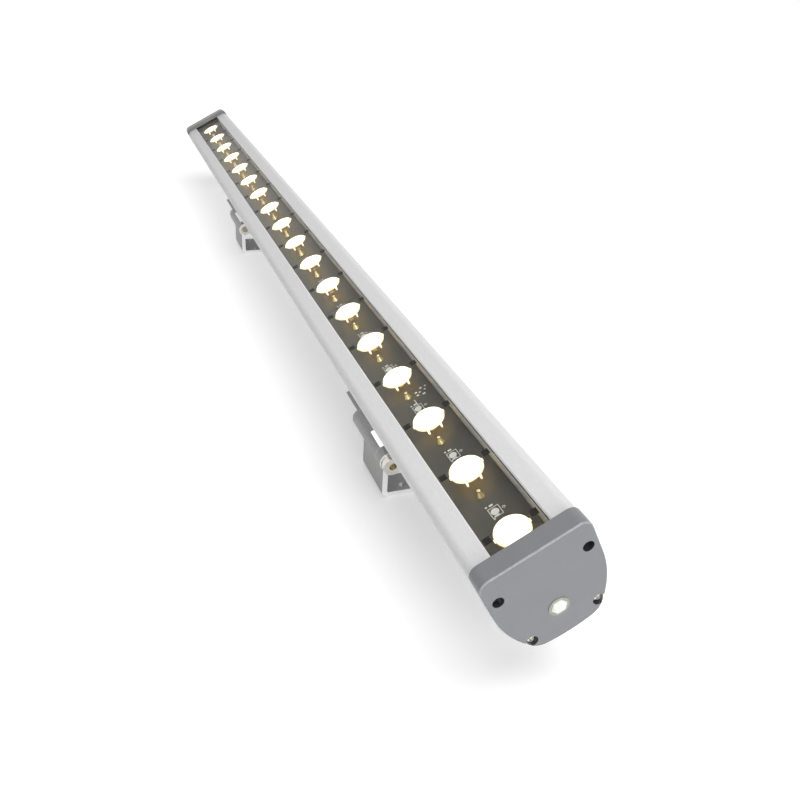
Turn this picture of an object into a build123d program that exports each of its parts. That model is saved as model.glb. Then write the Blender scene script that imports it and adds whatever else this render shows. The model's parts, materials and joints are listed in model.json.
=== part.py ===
from build123d import *
import math
import os

# Outdoor wall washer light: an extruded aluminium lamp with eighteen lenses behind glass, an end
# cap at each end, and two hinged brackets that slide along a track in the lamp's flank.
# Millimetres and degrees. The row lies along Y, its near end is at -Y, the floor is Z = 0, and
# the lamp leans towards -X. Lamp sections are drawn with right and up as the lamp has them, from
# the centre of the lens tops, and foot sections are drawn upright from the hinge axis.

# Lamp as a whole
overall_length = 1200.0
lamp_lean = 27.5
lens_pitch = 66.5
lens_end_margin = 3.0
board_count = 3

# Outer section, shared by the extrusion and the end caps
half_width = 37.6
flange_top = 7.7
shoulder_radius = 6.6
flank_start = -18.0
flank_radius = 74.0
belly_radius = 112.0
section_bottom = -65.7
lower_corner_radius = 14.0

# Extrusion
wall_thickness = 2.6
window_half_width = 20.3
lip_chamfer = 0.9
inner_wall_thickness = 2.6
channel_bottom = 3.0
channel_height = 3.6
channel_depth = 3.4
channel_wall = 2.4
shelf_top = -12.3
shelf_thickness = 3.6
port_radius = 2.0
port_wall = 2.6
rail_width = 3.0
rail_spacing = 26.0
rail_top = -59.0
lead_hole_radius = 3.0
lead_hole_from_end = 14.0

# Side track, square to the flank
track_below_start = 17.9
track_mouth_width = 5.0
track_mouth_depth = 2.0
track_head_width = 9.0
track_head_depth = 2.6
track_wall = 2.0

# End caps, gaskets and their screws
cap_depth = 14.6
cap_top = 13.0
cap_corner_radius = 7.5
cap_edge_radius = 1.2
cap_wall = 4.0
cap_plate = 5.6
cap_boss_radius = 6.2
gasket_thickness = 1.2
gasket_width = 3.8
gasket_inset = 0.3
upper_screw_right = 30.4
upper_screw_up = -6.8
lower_screw_right = 24.0
lower_screw_up = -54.4
upper_recess_radius = 3.8
upper_recess_depth = 7.0
lower_recess_radius = 4.2
lower_recess_depth = 4.6
cap_screw_radius = 1.95
cap_screw_length = 26.0
cap_screw_head_radius = 3.4
cap_screw_head_height = 2.6
cap_screw_dome = 1.0
screw_bore_clearance = 0.15

# Cable inlet in the near cap and the same blanked hole in the far cap
inlet_up = -39.0
inlet_radius = 6.8
inlet_flange_radius = 7.0
inlet_flange_height = 0.6
inlet_bore_radius = 4.9
inlet_boss_radius = 9.6
plug_hexagon = 8.4
plug_height = 1.4
plug_recess = 0.9
plug_stem_radius = 4.8

# Glass, its seals and the pads under it
seal_lip = 0.45
seal_web = 0.8
glass_clearance = 0.15
pad_size = 5.0
pad_thickness = 0.7
pad_right = 16.5

# Boards, light sources and lenses
board_thickness = 1.6
board_half_width = 19.8
board_gap = 0.6
board_end_gap = 1.0
led_size = 3.5
led_height = 0.8
lens_radius = 12.7
lens_rim_height = 1.6
lens_waist_radius = 5.2
lens_waist_up = -8.6
lens_pocket_radius = 3.2
lens_pocket_depth = 3.6
lens_belly_radius = 10.4
lens_belly_up = -4.4
lens_leg_radius = 0.9
lens_leg_right = 5.2
lens_leg_ahead = 10.5
board_screw_ahead = 19.0
board_screw_right = -1.6
board_screw_head_radius = 2.5
board_screw_neck_radius = 1.2
board_screw_height = 6.2
board_screw_base = 1.4
board_screw_radius = 1.45

# Driver in the chamber under the shelf
driver_from_end = 70.0
driver_length = 230.0
driver_width = 36.0
driver_tray_height = 20.0
driver_tray_wall = 1.4
driver_board_thickness = 1.6
driver_board_lift = 3.0
driver_board_inset = 1.0
spacer_radius = 2.6
spacer_inset = 9.0
transformer_length = 30.0
transformer_width = 27.0
transformer_height = 21.0
transformer_core_share = 0.55
capacitor_radius = 8.0
capacitor_length = 24.0
output_capacitor_radius = 5.0
output_capacitor_height = 16.0
choke_radius = 9.5
choke_hole_radius = 4.0
choke_width = 9.0
fet_length = 11.0
fet_thickness = 4.5
fet_height = 15.0
terminal_length = 11.0
terminal_width = 17.0
terminal_height = 10.0
lead_radius = 1.1
lead_spacing = 5.0
lead_bend_radius = 6.0

# Bracket places from the lamp's ends, and the hinge beside the flank and below the track
near_foot_from_end = 210.1
far_foot_from_end = 389.8
hinge_gap = 0.5
hinge_from_track = 14.4

# Foot profile, upright, from the hinge axis
hinge_height = 35.3
foot_length = 49.9
foot_thickness = 4.6
foot_leg_left = -5.4
foot_reach = 53.0
foot_bend_radius = 6.0
foot_inner_radius = 1.6
barrel_radius = 8.6
knuckle_length = 11.2
lip_reach = 11.0
lip_bottom = -13.0
lip_height = 3.5
lip_shoulder_right = 7.6
lip_shoulder_up = -3.0
foot_barrel_gap = 0.9
foot_hole_radius = 2.75
foot_hole_right = 14.6
foot_hole_spacing = 35.0

# Clamp profile, in the lamp section
clamp_barrel_length = 61.5
clamp_plate_length = 76.2
clamp_face_outset = 0.8
clamp_above_track = 4.9
clamp_slant_length = 8.6
clamp_slant_height = 12.6
clamp_clearance = 0.2
slide_clearance = 0.15
knuckle_gap = 0.1
head_clearance = 0.6
set_screw_radius = 2.5
set_screw_tip_gap = 0.1
set_screw_socket = 2.5
set_screw_socket_depth = 2.4
set_screw_inset = 0.4

# Hinge bolt, washers and nut
bolt_radius = 4.0
bolt_clearance = 0.05
bolt_head_radius = 8.1
bolt_head_height = 4.3
bolt_edge_radius = 0.4
bolt_socket = 6.0
bolt_socket_depth = 3.0
flat_washer_radius = 8.3
flat_washer_thickness = 1.6
spring_washer_radius = 7.6
spring_washer_thickness = 1.9
spring_washer_slit = 1.2
nut_hexagon = 13.0
nut_height = 6.5
nut_pocket_depth = 7.0
nut_clearance = 0.15

# One overrun serves every cut
overrun = 1.0

# Directions of the leaning lamp and the place of its section on the floor
lean_cosine = math.cos(math.radians(lamp_lean))
lean_sine = math.sin(math.radians(lamp_lean))
lamp_right = Vector(lean_cosine, 0, lean_sine)
lamp_up = Vector(-lean_sine, 0, lean_cosine)


def lean_x(right, up):
    """World X of a point of the lamp section, from the section's own origin."""
    return right * lean_cosine - up * lean_sine


def lean_z(right, up):
    """World Z of a point of the lamp section, from the section's own origin."""
    return right * lean_sine + up * lean_cosine


track_turn = math.degrees(math.asin(track_below_start / flank_radius))
hinge_circle = flank_radius + hinge_gap + barrel_radius
hinge_turn = math.radians(track_turn) + math.asin(hinge_from_track / hinge_circle)
hinge_right = flank_radius - half_width - hinge_circle * math.cos(hinge_turn)
hinge_up = flank_start - hinge_circle * math.sin(hinge_turn)
left_reach = lean_x(cap_corner_radius - half_width, cap_top - cap_corner_radius) - cap_corner_radius
right_reach = lean_x(half_width - flank_radius, flank_start) + flank_radius
lamp_x = -(left_reach + right_reach) / 2
lamp_z = hinge_height - lean_z(hinge_right, hinge_up)
hinge_x = lamp_x + lean_x(hinge_right, hinge_up)


def lamp_point(right, along, up):
    """World place of a point given in the lamp's own directions."""
    return Vector(lamp_x + lean_x(right, up), along, lamp_z + lean_z(right, up))


def lamp_section(along):
    """Plane across the lamp, seen from the near end: extruding it runs towards the near end."""
    return Plane(origin=lamp_point(0, along, 0), x_dir=lamp_right, z_dir=(0, -1, 0))


def lamp_level(up, along=0.0):
    """Plane along the lamp at a height, with its X to the lamp's right and its Y along the row."""
    return Plane(origin=lamp_point(0, along, up), x_dir=lamp_right, z_dir=lamp_up)


def foot_section(along):
    """Upright plane across the row with its origin on the hinge axis."""
    return Plane(origin=(hinge_x, along, hinge_height), x_dir=(1, 0, 0), z_dir=(0, -1, 0))


def hinge_section(along, outward):
    """Plane across the hinge bolt in the lamp's directions, facing the near or the far end."""
    origin = lamp_point(hinge_right, along, hinge_up)
    return Plane(origin=origin, x_dir=lamp_right, z_dir=(0, outward, 0))


def finish(builder, label):
    """Labels a finished piece and writes its file."""
    builder.part.label = label
    export_step(builder.part, f"parts/{label}.step")


os.makedirs("parts", exist_ok=True)

extrusion_length = overall_length - 2 * cap_depth - 2 * gasket_thickness
extrusion_end = extrusion_length / 2
lens_room = extrusion_length - 2 * lens_radius - 2 * lens_end_margin
lens_count = 1 + int(lens_room // lens_pitch)
row_middle = (lens_count - 1) / 2
lens_places = [(index - row_middle) * lens_pitch for index in range(lens_count)]


def flank_point(turn):
    """Point of the right flank's arc, by the angle from its upper end."""
    angle = math.radians(turn)
    right = half_width - flank_radius + flank_radius * math.cos(angle)
    return (right, flank_start - flank_radius * math.sin(angle))


def block(left, right, bottom, top, mode=Mode.ADD):
    """Rectangle of a sketch given by its four sides."""
    with Locations(((left + right) / 2, (bottom + top) / 2)):
        Rectangle(right - left, top - bottom, mode=mode)


def lamp_outline(top, corner, inset=0.0):
    """Section of the lamp, or one inside it: flat top, round shoulders, curved flanks and belly."""
    side = half_width - inset
    centre = flank_radius - half_width
    with BuildSketch() as outline:
        with Locations((0, section_bottom + belly_radius)):
            Circle(belly_radius - inset)
        with Locations((centre, flank_start)):
            Circle(flank_radius - inset, mode=Mode.INTERSECT)
        with Locations((-centre, flank_start)):
            Circle(flank_radius - inset, mode=Mode.INTERSECT)
        block(-half_width, half_width, section_bottom, flank_start, Mode.INTERSECT)
        block(-side, side, flank_start, top - inset)
        fillet(outline.vertices().group_by(Axis.Y)[-1], corner - inset)
        fillet(outline.vertices().group_by(Axis.Y)[0], lower_corner_radius - inset)
    return outline.sketch


body_outline = lamp_outline(flange_top, shoulder_radius)
cap_outline = lamp_outline(cap_top, cap_corner_radius)
cap_pocket_outline = lamp_outline(flange_top, shoulder_radius, cap_wall)
gasket_outline = lamp_outline(flange_top, shoulder_radius, gasket_inset)
gasket_opening = lamp_outline(flange_top, shoulder_radius, gasket_width)

port_places = [
    (upper_screw_right, upper_screw_up),
    (-upper_screw_right, upper_screw_up),
    (lower_screw_right, lower_screw_up),
    (-lower_screw_right, lower_screw_up),
]

# Place of the track on the right flank, mirrored on the left, with its X pointing outwards
track_right, track_up = flank_point(track_turn)
right_track = Location((track_right, track_up, 0), (0, 0, -track_turn))
left_track = Location((-track_right, track_up, 0), (0, 0, 180 + track_turn))
track_depth = track_mouth_depth + track_head_depth


# Chamber under the shelf, less what the extrusion carries into it
chamber_shell = window_half_width + inner_wall_thickness
channel_shell = window_half_width + channel_depth + channel_wall
port_shell = port_radius + port_wall
track_shell = track_depth + track_wall
with BuildSketch() as driver_chamber:
    add(lamp_outline(flange_top, shoulder_radius, wall_thickness))
    block(-chamber_shell, chamber_shell, shelf_top - shelf_thickness, flange_top, Mode.SUBTRACT)
    block(-channel_shell, channel_shell, channel_bottom - channel_wall, flange_top, Mode.SUBTRACT)
    with Locations(port_places):
        Circle(port_shell, mode=Mode.SUBTRACT)
    for side in (1, -1):
        web_start = side * upper_screw_right
        web_end = side * half_width
        block(
            min(web_start, web_end), max(web_start, web_end),
            upper_screw_up - port_radius, upper_screw_up + port_radius, Mode.SUBTRACT,
        )
        rail_centre = side * rail_spacing / 2
        block(
            rail_centre - rail_width / 2, rail_centre + rail_width / 2,
            section_bottom, rail_top, Mode.SUBTRACT,
        )
    with Locations(right_track, left_track):
        with Locations((-track_shell / 2, 0)):
            Rectangle(track_shell, track_head_width + 2 * track_wall, mode=Mode.SUBTRACT)

with BuildSketch() as extrusion_section:
    add(body_outline)
    add(driver_chamber.sketch, mode=Mode.SUBTRACT)
    block(-window_half_width, window_half_width, shelf_top, flange_top, Mode.SUBTRACT)
    window_lips = extrusion_section.vertices().group_by(Axis.Y)[-1].sort_by(lambda corner: abs(corner.X))[:2]
    chamfer(window_lips, lip_chamfer)
    channel_side = window_half_width + channel_depth
    block(-channel_side, channel_side, channel_bottom, channel_bottom + channel_height, Mode.SUBTRACT)
    with Locations(port_places):
        Circle(port_radius, mode=Mode.SUBTRACT)
    with Locations(right_track, left_track):
        with Locations(((overrun - track_mouth_depth) / 2, 0)):
            Rectangle(track_mouth_depth + overrun, track_mouth_width, mode=Mode.SUBTRACT)
        with Locations((-track_mouth_depth - track_head_depth / 2, 0)):
            Rectangle(track_head_depth, track_head_width, mode=Mode.SUBTRACT)

lead_hole_along = lead_hole_from_end - extrusion_end
with BuildPart() as housing_extrusion:
    with BuildSketch(lamp_section(0)):
        add(extrusion_section.sketch)
    extrude(amount=extrusion_end, both=True)
    with BuildSketch(lamp_level(shelf_top, lead_hole_along)):
        Circle(lead_hole_radius)
    extrude(amount=-shelf_thickness, mode=Mode.SUBTRACT)
finish(housing_extrusion, "housing_extrusion")

# Glass and the seal strips that wrap its long edges
seal_outer = window_half_width + channel_depth
seal_inner = seal_outer - seal_web
glass_half_width = seal_inner - glass_clearance
glass_bottom = channel_bottom + seal_lip
glass_top = channel_bottom + channel_height - seal_lip
with BuildPart() as cover_glass:
    with BuildSketch(lamp_section(extrusion_end)):
        block(-glass_half_width, glass_half_width, glass_bottom, glass_top)
    extrude(amount=extrusion_length)
finish(cover_glass, "cover_glass")


def glass_seal(side):
    """Seal strip with a U section round one long edge of the glass."""
    outer = side * seal_outer
    web = side * seal_inner
    lip = side * window_half_width
    with BuildPart() as seal:
        with BuildSketch(lamp_section(extrusion_end)):
            block(min(lip, outer), max(lip, outer), channel_bottom, channel_bottom + channel_height)
            block(min(lip, web), max(lip, web), glass_bottom, glass_top, Mode.SUBTRACT)
        extrude(amount=extrusion_length)
    return seal


finish(glass_seal(-1), "left_glass_seal")
finish(glass_seal(1), "right_glass_seal")

with BuildPart() as glass_pads:
    with BuildSketch(lamp_level(glass_bottom)):
        with Locations([(side * pad_right, along) for along in lens_places for side in (-1, 1)]):
            Rectangle(pad_size, pad_size)
    extrude(amount=-pad_thickness)
finish(glass_pads, "glass_pads")

# Three boards, each with its own share of the lenses
board_top = shelf_top + board_thickness
board_starts = [round(joint * lens_count / board_count) for joint in range(board_count + 1)]
board_ends = [-extrusion_end + board_end_gap]
for start in board_starts[1:-1]:
    board_ends.append((start - row_middle - 1 / 2) * lens_pitch)
board_ends.append(extrusion_end - board_end_gap)
board_names = ["near", "middle", "far"]
board_screw_places = [along - board_screw_ahead for along in lens_places[1:]]


def led_board(first, last):
    """Aluminium board lying on the shelf, with clearance holes for its brass screws."""
    start = first + board_gap / 2
    end = last - board_gap / 2
    holes = [along for along in board_screw_places if start < along < end]
    with BuildPart() as board:
        with BuildSketch(lamp_level(shelf_top)):
            block(-board_half_width, board_half_width, start, end)
            with Locations([(board_screw_right, along) for along in holes]):
                Circle(board_screw_radius + screw_bore_clearance, mode=Mode.SUBTRACT)
        extrude(amount=board_thickness)
    return board


def lens_group(places):
    """Cone lenses with a rim, a pocket over the light source and four legs to the board."""
    lowest_leg = -lens_rim_height - board_top
    with BuildPart() as group:
        for along in places:
            with BuildSketch(lamp_section(along)):
                with BuildLine():
                    Polyline(
                        (0, lens_waist_up + lens_pocket_depth),
                        (lens_pocket_radius, lens_waist_up + lens_pocket_depth),
                        (lens_pocket_radius, lens_waist_up),
                        (lens_waist_radius, lens_waist_up),
                    )
                    ThreePointArc(
                        (lens_waist_radius, lens_waist_up),
                        (lens_belly_radius, lens_belly_up),
                        (lens_radius, -lens_rim_height),
                    )
                    Polyline((lens_radius, -lens_rim_height), (lens_radius, 0), (0, 0))
                    Line((0, 0), (0, lens_waist_up + lens_pocket_depth))
                make_face()
            revolve(axis=Axis(lamp_point(0, along, 0), lamp_up))
            with BuildSketch(lamp_level(board_top, along)):
                with GridLocations(2 * lens_leg_right, 2 * lens_leg_ahead, 2, 2):
                    Circle(lens_leg_radius)
            extrude(amount=lowest_leg)
    return group


for index, name in enumerate(board_names):
    finish(led_board(board_ends[index], board_ends[index + 1]), f"{name}_led_board")
    board_lenses = lens_places[board_starts[index]:board_starts[index + 1]]
    finish(lens_group(board_lenses), f"{name}_lenses")

with BuildPart() as led_packages:
    with BuildSketch(lamp_level(board_top)):
        with Locations([(0, along) for along in lens_places]):
            Rectangle(led_size, led_size)
    extrude(amount=led_height)
finish(led_packages, "led_packages")

with BuildPart() as board_screws:
    for place in board_screw_places:
        with BuildSketch(lamp_section(place)):
            with BuildLine():
                Polyline(
                    (board_screw_right, board_top + board_screw_height),
                    (board_screw_right + board_screw_neck_radius, board_top + board_screw_height),
                    (board_screw_right + board_screw_head_radius, board_top + board_screw_base),
                    (board_screw_right + board_screw_head_radius, board_top),
                    (board_screw_right + board_screw_radius, board_top),
                    (board_screw_right + board_screw_radius, board_top - board_thickness),
                    (board_screw_right, board_top - board_thickness),
                    close=True,
                )
            make_face()
        revolve(axis=Axis(lamp_point(board_screw_right, place, 0), lamp_up))
finish(board_screws, "board_screws")


def cap_frame(end):
    """Plane on a cap's outer face with its Z inwards and its Y up; X follows the lamp's sides."""
    origin = lamp_point(0, end * overall_length / 2, 0)
    return Plane(origin=origin, x_dir=lamp_right * end, z_dir=(0, -end, 0))


def end_cap(end):
    """Cast cap with a rounded rim, a hollow back, four screw recesses and the inlet hole."""
    frame = cap_frame(end)
    with BuildPart() as cap:
        with BuildSketch(frame):
            add(cap_outline)
        extrude(amount=cap_depth)
        fillet(cap.faces().sort_by(Axis.Y)[0 if end < 0 else -1].edges(), cap_edge_radius)
        with BuildSketch(frame.offset(cap_plate)):
            add(cap_pocket_outline)
            with Locations(port_places):
                Circle(cap_boss_radius, mode=Mode.SUBTRACT)
            with Locations((0, inlet_up)):
                Circle(inlet_boss_radius, mode=Mode.SUBTRACT)
        extrude(amount=cap_depth - cap_plate, mode=Mode.SUBTRACT)
        with BuildSketch(frame):
            with Locations(port_places):
                Circle(cap_screw_radius + screw_bore_clearance)
            with Locations((0, inlet_up)):
                Circle(inlet_radius)
        extrude(amount=cap_depth, mode=Mode.SUBTRACT)
        with BuildSketch(frame):
            with Locations(port_places[:2]):
                Circle(upper_recess_radius)
        extrude(amount=upper_recess_depth, mode=Mode.SUBTRACT)
        with BuildSketch(frame):
            with Locations(port_places[2:]):
                Circle(lower_recess_radius)
        extrude(amount=lower_recess_depth, mode=Mode.SUBTRACT)
    return cap


def cap_gasket(end):
    """Flat ring between a cap and the end of the extrusion."""
    with BuildPart() as gasket:
        with BuildSketch(cap_frame(end).offset(cap_depth)):
            add(gasket_outline)
            add(gasket_opening, mode=Mode.SUBTRACT)
            with Locations(port_places):
                Circle(cap_screw_radius + screw_bore_clearance, mode=Mode.SUBTRACT)
        extrude(amount=gasket_thickness)
    return gasket


def cap_screws(end):
    """Four pan head screws, two at the bottom of the deep recesses and two in the shallow ones."""
    frame = cap_frame(end)
    with BuildPart() as screws:
        for places, depth in (
            (port_places[:2], upper_recess_depth),
            (port_places[2:], lower_recess_depth),
        ):
            with BuildSketch(frame.offset(depth)):
                with Locations(places):
                    Circle(cap_screw_radius)
            extrude(amount=cap_screw_length)
            with BuildSketch(frame.offset(depth)):
                with Locations(places):
                    Circle(cap_screw_head_radius)
            extrude(amount=-cap_screw_head_height)
        rims = screws.edges().filter_by(GeomType.CIRCLE).filter_by(
            lambda edge: abs(edge.radius - cap_screw_head_radius) < screw_bore_clearance
        )
        heads_out = [edge for edge in rims if edge_is_outer(edge, end)]
        fillet(heads_out, cap_screw_dome)
    return screws


def edge_is_outer(edge, end):
    """Tells a head's outer rim from the rim that lies on the cap."""
    from_face = overall_length / 2 - abs(edge.arc_center.Y)
    seats = (upper_recess_depth, lower_recess_depth)
    return all(abs(from_face - seat) > screw_bore_clearance for seat in seats)


def inlet_bush(end):
    """Clear bush through the cap with a thin flange on its face."""
    frame = cap_frame(end)
    with BuildPart() as bush:
        with BuildSketch(frame):
            with Locations((0, inlet_up)):
                Circle(inlet_radius)
        extrude(amount=cap_depth)
        with BuildSketch(frame):
            with Locations((0, inlet_up)):
                Circle(inlet_flange_radius)
        extrude(amount=-inlet_flange_height)
        with BuildSketch(frame.offset(-inlet_flange_height)):
            with Locations((0, inlet_up)):
                Circle(inlet_bore_radius)
        extrude(amount=cap_depth + inlet_flange_height, mode=Mode.SUBTRACT)
    return bush


def inlet_plug(end):
    """Blanking plug with a hexagon head in the bush."""
    frame = cap_frame(end)
    with BuildPart() as plug:
        with BuildSketch(frame.offset(plug_recess)):
            with Locations((0, inlet_up)):
                Circle(plug_stem_radius)
        extrude(amount=cap_depth - plug_recess)
        with BuildSketch(frame.offset(plug_recess)):
            with Locations((0, inlet_up)):
                RegularPolygon(plug_hexagon / 2, side_count=6, major_radius=False)
        extrude(amount=-plug_height)
    return plug


for name, end in (("near", -1), ("far", 1)):
    finish(end_cap(end), f"{name}_end_cap")
    finish(cap_gasket(end), f"{name}_cap_gasket")
    finish(cap_screws(end), f"{name}_cap_screws")
    finish(inlet_bush(end), f"{name}_inlet_bush")
    finish(inlet_plug(end), f"{name}_inlet_plug")

# Driver: an open tray on the two rails, with its board and parts
tray_start = driver_from_end - extrusion_end
tray_end = tray_start + driver_length
tray_floor = rail_top + driver_tray_wall
tray_inner_half = driver_width / 2 - driver_tray_wall
driver_board_bottom = tray_floor + driver_board_lift
driver_board_top = driver_board_bottom + driver_board_thickness
with BuildPart() as driver_tray:
    with BuildSketch(lamp_section(tray_end)):
        block(-driver_width / 2, driver_width / 2, rail_top, rail_top + driver_tray_height)
        block(-tray_inner_half, tray_inner_half, tray_floor, rail_top + driver_tray_height, Mode.SUBTRACT)
    extrude(amount=driver_length)
finish(driver_tray, "driver_tray")

spacer_right = tray_inner_half - spacer_inset
spacer_places = [
    (side * spacer_right, place)
    for side in (-1, 1)
    for place in (tray_start + spacer_inset, tray_end - spacer_inset)
]
with BuildPart() as driver_spacers:
    with BuildSketch(lamp_level(tray_floor)):
        with Locations(spacer_places):
            Circle(spacer_radius)
    extrude(amount=driver_board_lift)
finish(driver_spacers, "driver_spacers")

with BuildPart() as driver_board:
    with BuildSketch(lamp_level(driver_board_bottom)):
        board_side = tray_inner_half - driver_board_inset
        block(-board_side, board_side, tray_start + driver_board_inset, tray_end - driver_board_inset)
    extrude(amount=driver_board_thickness)
finish(driver_board, "driver_board")

# Parts stand on the board in the order of the power path, from the near end
input_terminal_along = tray_start + driver_board_inset + terminal_length
choke_along = input_terminal_along + terminal_length + choke_radius
capacitor_along = choke_along + choke_radius + capacitor_length
fet_along = capacitor_along + capacitor_length
transformer_along = fet_along + fet_length + transformer_length / 2
output_capacitor_along = transformer_along + transformer_length
output_terminal_along = tray_end - driver_board_inset - terminal_length

with BuildPart() as driver_transformer:
    with BuildSketch(lamp_level(driver_board_top, transformer_along)):
        Rectangle(transformer_width, transformer_length * transformer_core_share)
    extrude(amount=transformer_height)
    with BuildSketch(lamp_level(driver_board_top, transformer_along)):
        Rectangle(transformer_width * transformer_core_share, transformer_length)
    extrude(amount=transformer_height * transformer_core_share)
finish(driver_transformer, "driver_transformer")

with BuildPart() as input_capacitor:
    with BuildSketch(lamp_section(capacitor_along + capacitor_length / 2)):
        with Locations((0, driver_board_top + capacitor_radius)):
            Circle(capacitor_radius)
    extrude(amount=capacitor_length)
finish(input_capacitor, "input_capacitor")

with BuildPart() as output_capacitors:
    with BuildSketch(lamp_level(driver_board_top, output_capacitor_along)):
        with GridLocations(2 * output_capacitor_radius + lead_radius, 0, 2, 1):
            Circle(output_capacitor_radius)
    extrude(amount=output_capacitor_height)
finish(output_capacitors, "output_capacitors")

with BuildPart() as input_choke:
    with BuildSketch(lamp_section(choke_along + choke_width / 2)):
        with Locations((0, driver_board_top + choke_radius)):
            Circle(choke_radius)
            Circle(choke_hole_radius, mode=Mode.SUBTRACT)
    extrude(amount=choke_width)
finish(input_choke, "input_choke")

with BuildPart() as switching_transistor:
    with BuildSketch(lamp_level(driver_board_top, fet_along)):
        Rectangle(fet_thickness, fet_length)
    extrude(amount=fet_height)
finish(switching_transistor, "switching_transistor")


def terminal_block(along):
    """Terminal block standing on the driver board."""
    with BuildPart() as terminal:
        with BuildSketch(lamp_level(driver_board_top, along)):
            Rectangle(terminal_width, terminal_length)
        extrude(amount=terminal_height)
    return terminal


finish(terminal_block(input_terminal_along), "input_terminal")
finish(terminal_block(output_terminal_along), "output_terminal")

input_lead_up = driver_board_top + terminal_height / 2
plug_back = cap_depth - overall_length / 2
with BuildPart() as mains_leads:
    for index in (-1, 0, 1):
        side = index * lead_spacing
        nearness = index * (2 * lead_radius + glass_clearance)
        start = lamp_point(nearness, plug_back, inlet_up)
        middle = lamp_point(nearness, plug_back + driver_from_end / 2, inlet_up)
        turn = lamp_point(side, tray_start - driver_board_inset, input_lead_up)
        stop = lamp_point(side, input_terminal_along - terminal_length / 2, input_lead_up)
        with BuildLine() as route:
            FilletPolyline(start, middle, turn, stop, radius=lead_bend_radius)
        with BuildSketch(Plane(origin=start, z_dir=(0, 1, 0))):
            Circle(lead_radius)
        sweep(path=route.line)
finish(mains_leads, "mains_leads")

output_lead_up = rail_top + driver_tray_height + lead_bend_radius
with BuildPart() as output_leads:
    for side in (-1, 1):
        right = side * (lead_radius + glass_clearance)
        foot = lamp_point(right, output_terminal_along, driver_board_top + terminal_height)
        rise = lamp_point(right, output_terminal_along, output_lead_up + lead_bend_radius)
        run = lamp_point(right, lead_hole_along, output_lead_up + lead_bend_radius)
        head = lamp_point(right, lead_hole_along, shelf_top)
        with BuildLine() as route:
            FilletPolyline(foot, rise, run, head, radius=lead_bend_radius)
        with BuildSketch(Plane(origin=foot, z_dir=lamp_up)):
            Circle(lead_radius)
        sweep(path=route.line)
finish(output_leads, "output_leads")

# Brackets: the foot's barrel lies ahead of the clamp's barrel on one hinge bolt
near_foot_front = near_foot_from_end - overall_length / 2
far_foot_front = overall_length / 2 - far_foot_from_end
clamp_face_right = hinge_right - clamp_face_outset
clamp_top = track_up + clamp_above_track
washer_stack = flat_washer_thickness + spring_washer_thickness
knuckle_bore = bolt_radius + bolt_clearance


def foot(front):
    """Extruded foot: hinge barrel with a lip, a leg under it and a base plate under the lamp."""
    back = front + foot_length
    base_top = foot_thickness - hinge_height
    leg_right = foot_leg_left + foot_thickness
    with BuildPart() as piece:
        with BuildSketch(foot_section(front + knuckle_length)):
            Circle(barrel_radius)
            with BuildLine():
                Polyline(
                    (foot_leg_left, 0),
                    (lip_shoulder_right, lip_shoulder_up),
                    (lip_reach, lip_bottom + lip_height),
                    (lip_reach, lip_bottom),
                    (foot_leg_left, lip_bottom),
                    close=True,
                )
            make_face()
        extrude(amount=knuckle_length)
        with BuildSketch(foot_section(back)) as profile:
            with BuildLine():
                Polyline(
                    (foot_leg_left, 0),
                    (foot_leg_left, -hinge_height),
                    (foot_reach, -hinge_height),
                    (foot_reach, base_top),
                    (leg_right, base_top),
                    (leg_right, 0),
                    close=True,
                )
            make_face()
            outer = profile.vertices().sort_by_distance((foot_leg_left, -hinge_height))[0]
            fillet(outer, foot_bend_radius)
            inner = profile.vertices().sort_by_distance((leg_right, base_top))[0]
            fillet(inner, foot_inner_radius)
            Circle(barrel_radius + foot_barrel_gap, mode=Mode.SUBTRACT)
        extrude(amount=foot_length)
        with BuildSketch(foot_section(front + knuckle_length)):
            Circle(barrel_radius)
            block(foot_leg_left, leg_right, -barrel_radius - foot_barrel_gap, 0)
        extrude(amount=knuckle_length)
        with BuildSketch(foot_section(front + knuckle_length)):
            Circle(knuckle_bore)
        extrude(amount=knuckle_length, mode=Mode.SUBTRACT)
        with BuildSketch(hinge_section(front, 1)):
            RegularPolygon(nut_hexagon / 2 + nut_clearance, side_count=6, major_radius=False)
        extrude(amount=nut_pocket_depth, mode=Mode.SUBTRACT)
        with BuildSketch(Plane.XY.offset(foot_thickness)):
            with Locations((hinge_x + foot_hole_right, (front + back) / 2)):
                with GridLocations(0, foot_hole_spacing, 1, 2):
                    Circle(foot_hole_radius)
        extrude(amount=-foot_thickness, mode=Mode.SUBTRACT)
    return piece


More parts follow.
